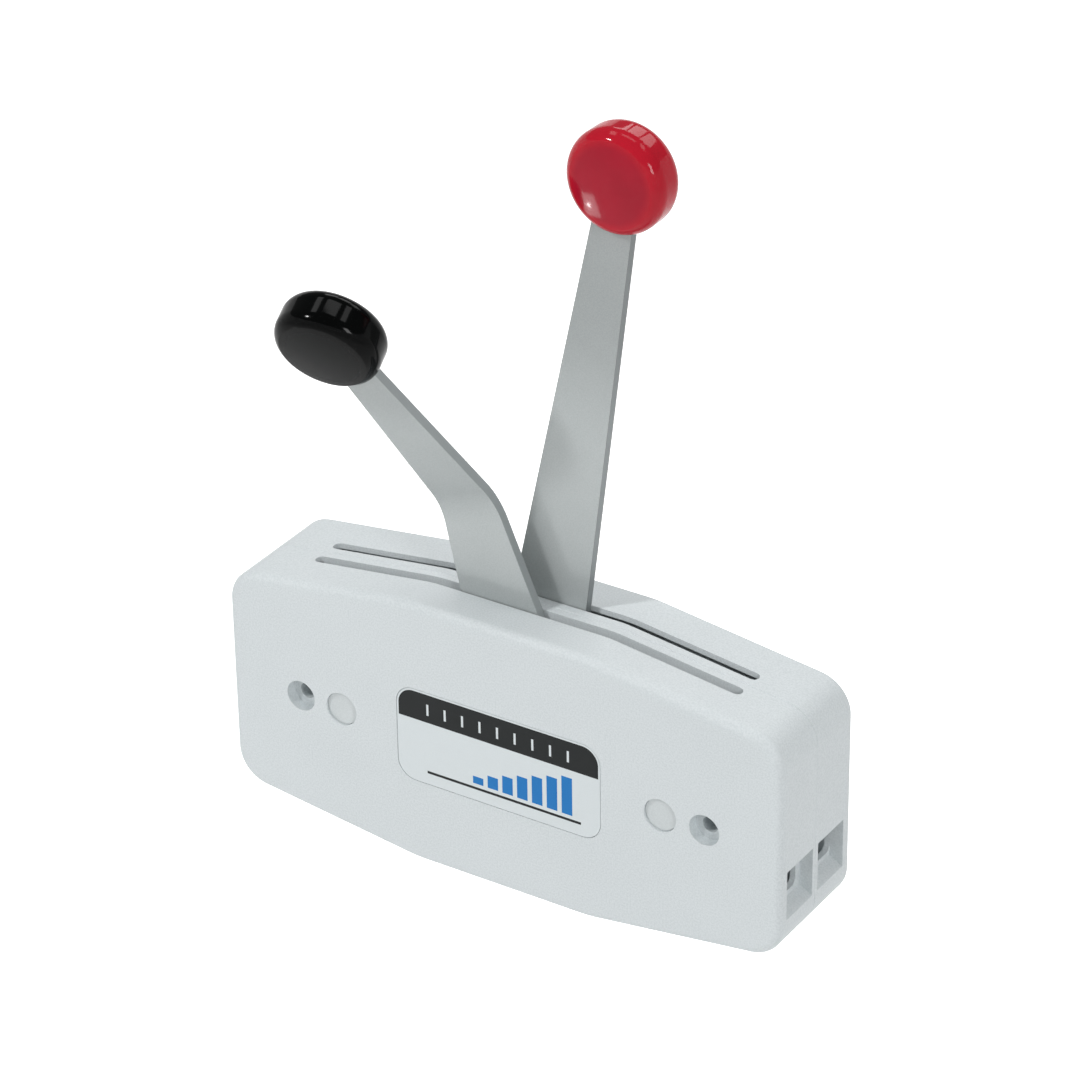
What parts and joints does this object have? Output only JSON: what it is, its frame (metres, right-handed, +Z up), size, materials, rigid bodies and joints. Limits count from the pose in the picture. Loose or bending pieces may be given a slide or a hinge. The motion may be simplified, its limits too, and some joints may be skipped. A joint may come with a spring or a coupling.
{
  "type": "twin-lever engine control",
  "caption": "Side-mount boat control: barrel-shaped plastic housing with a long straight throttle lever and a shorter bent gear-shift lever, round knobs and cable clamps inside.",
  "frame": {"origin": "midway between the two mounting bolt holes, on the flat mounting face at the back of the housing", "axes": "+X along the housing towards the cable windows, -Y out of the mounting face towards the helm, +Z up, the way the levers stand"},
  "size_m": [0.26, 0.0998, 0.3335],
  "materials": {
    "housing": "fine moulded grain, cool pale grey",
    "label": "printed film label",
    "steel": "stainless, satin",
    "spring_steel": "spring steel",
    "separator": "glass-filled nylon",
    "friction_lining": "woven friction lining",
    "lever_metal": "fine blasted and clear anodised",
    "bush_plastic": "natural acetal",
    "shift_knob": "moulded gloss black",
    "throttle_knob": "moulded gloss red",
    "rod_end_brass": "turned"
  },
  "bodies": {
    "housing": {"front_shell": "housing", "rear_shell": "housing", "shell_screws": "steel", "screw_caps": "housing", "label_plate": "label", "pivot_shaft": "steel", "pivot_nut": "steel", "spring_washers": "spring_steel", "separator_plate": "separator", "inner_friction_discs": "friction_lining", "outer_friction_discs": "friction_lining", "thrust_washers": "steel", "front_cable_strap": "steel", "rear_cable_strap": "steel", "strap_screws": "steel"},
    "shift_arm": {"shift_lever": "lever_metal", "shift_bush": "bush_plastic", "shift_knob": "shift_knob", "shift_cable_pin": "steel", "shift_pin_clip": "steel"},
    "throttle_arm": {"throttle_lever": "lever_metal", "throttle_bush": "bush_plastic", "throttle_knob": "throttle_knob", "throttle_cable_pin": "steel", "throttle_pin_clip": "steel"},
    "shift_swivel": {"shift_rod_end": "rod_end_brass"},
    "throttle_swivel": {"throttle_rod_end": "rod_end_brass"}
  },
  "joints": [
    {"name": "shift_pivot", "type": "hinge", "parent": "housing", "child": "shift_arm", "pos_m": [0, -0.0333, 0.028], "axis": [0, 1, 0], "range_deg": [-37, 73]},
    {"name": "throttle_pivot", "type": "hinge", "parent": "housing", "child": "throttle_arm", "pos_m": [0, -0.0207, 0.028], "axis": [0, 1, 0], "range_deg": [-64.9, 45.1]},
    {"name": "shift_cable_swivel", "type": "hinge", "parent": "shift_arm", "child": "shift_swivel", "pos_m": [0.01422, -0.0403, -0.01575], "axis": [0, 1, 0], "range_deg": [-72, 55]},
    {"name": "throttle_cable_swivel", "type": "hinge", "parent": "throttle_arm", "child": "throttle_swivel", "pos_m": [-0.00791, -0.0137, -0.01732], "axis": [0, 1, 0], "range_deg": [-45, 85]}
  ]
}
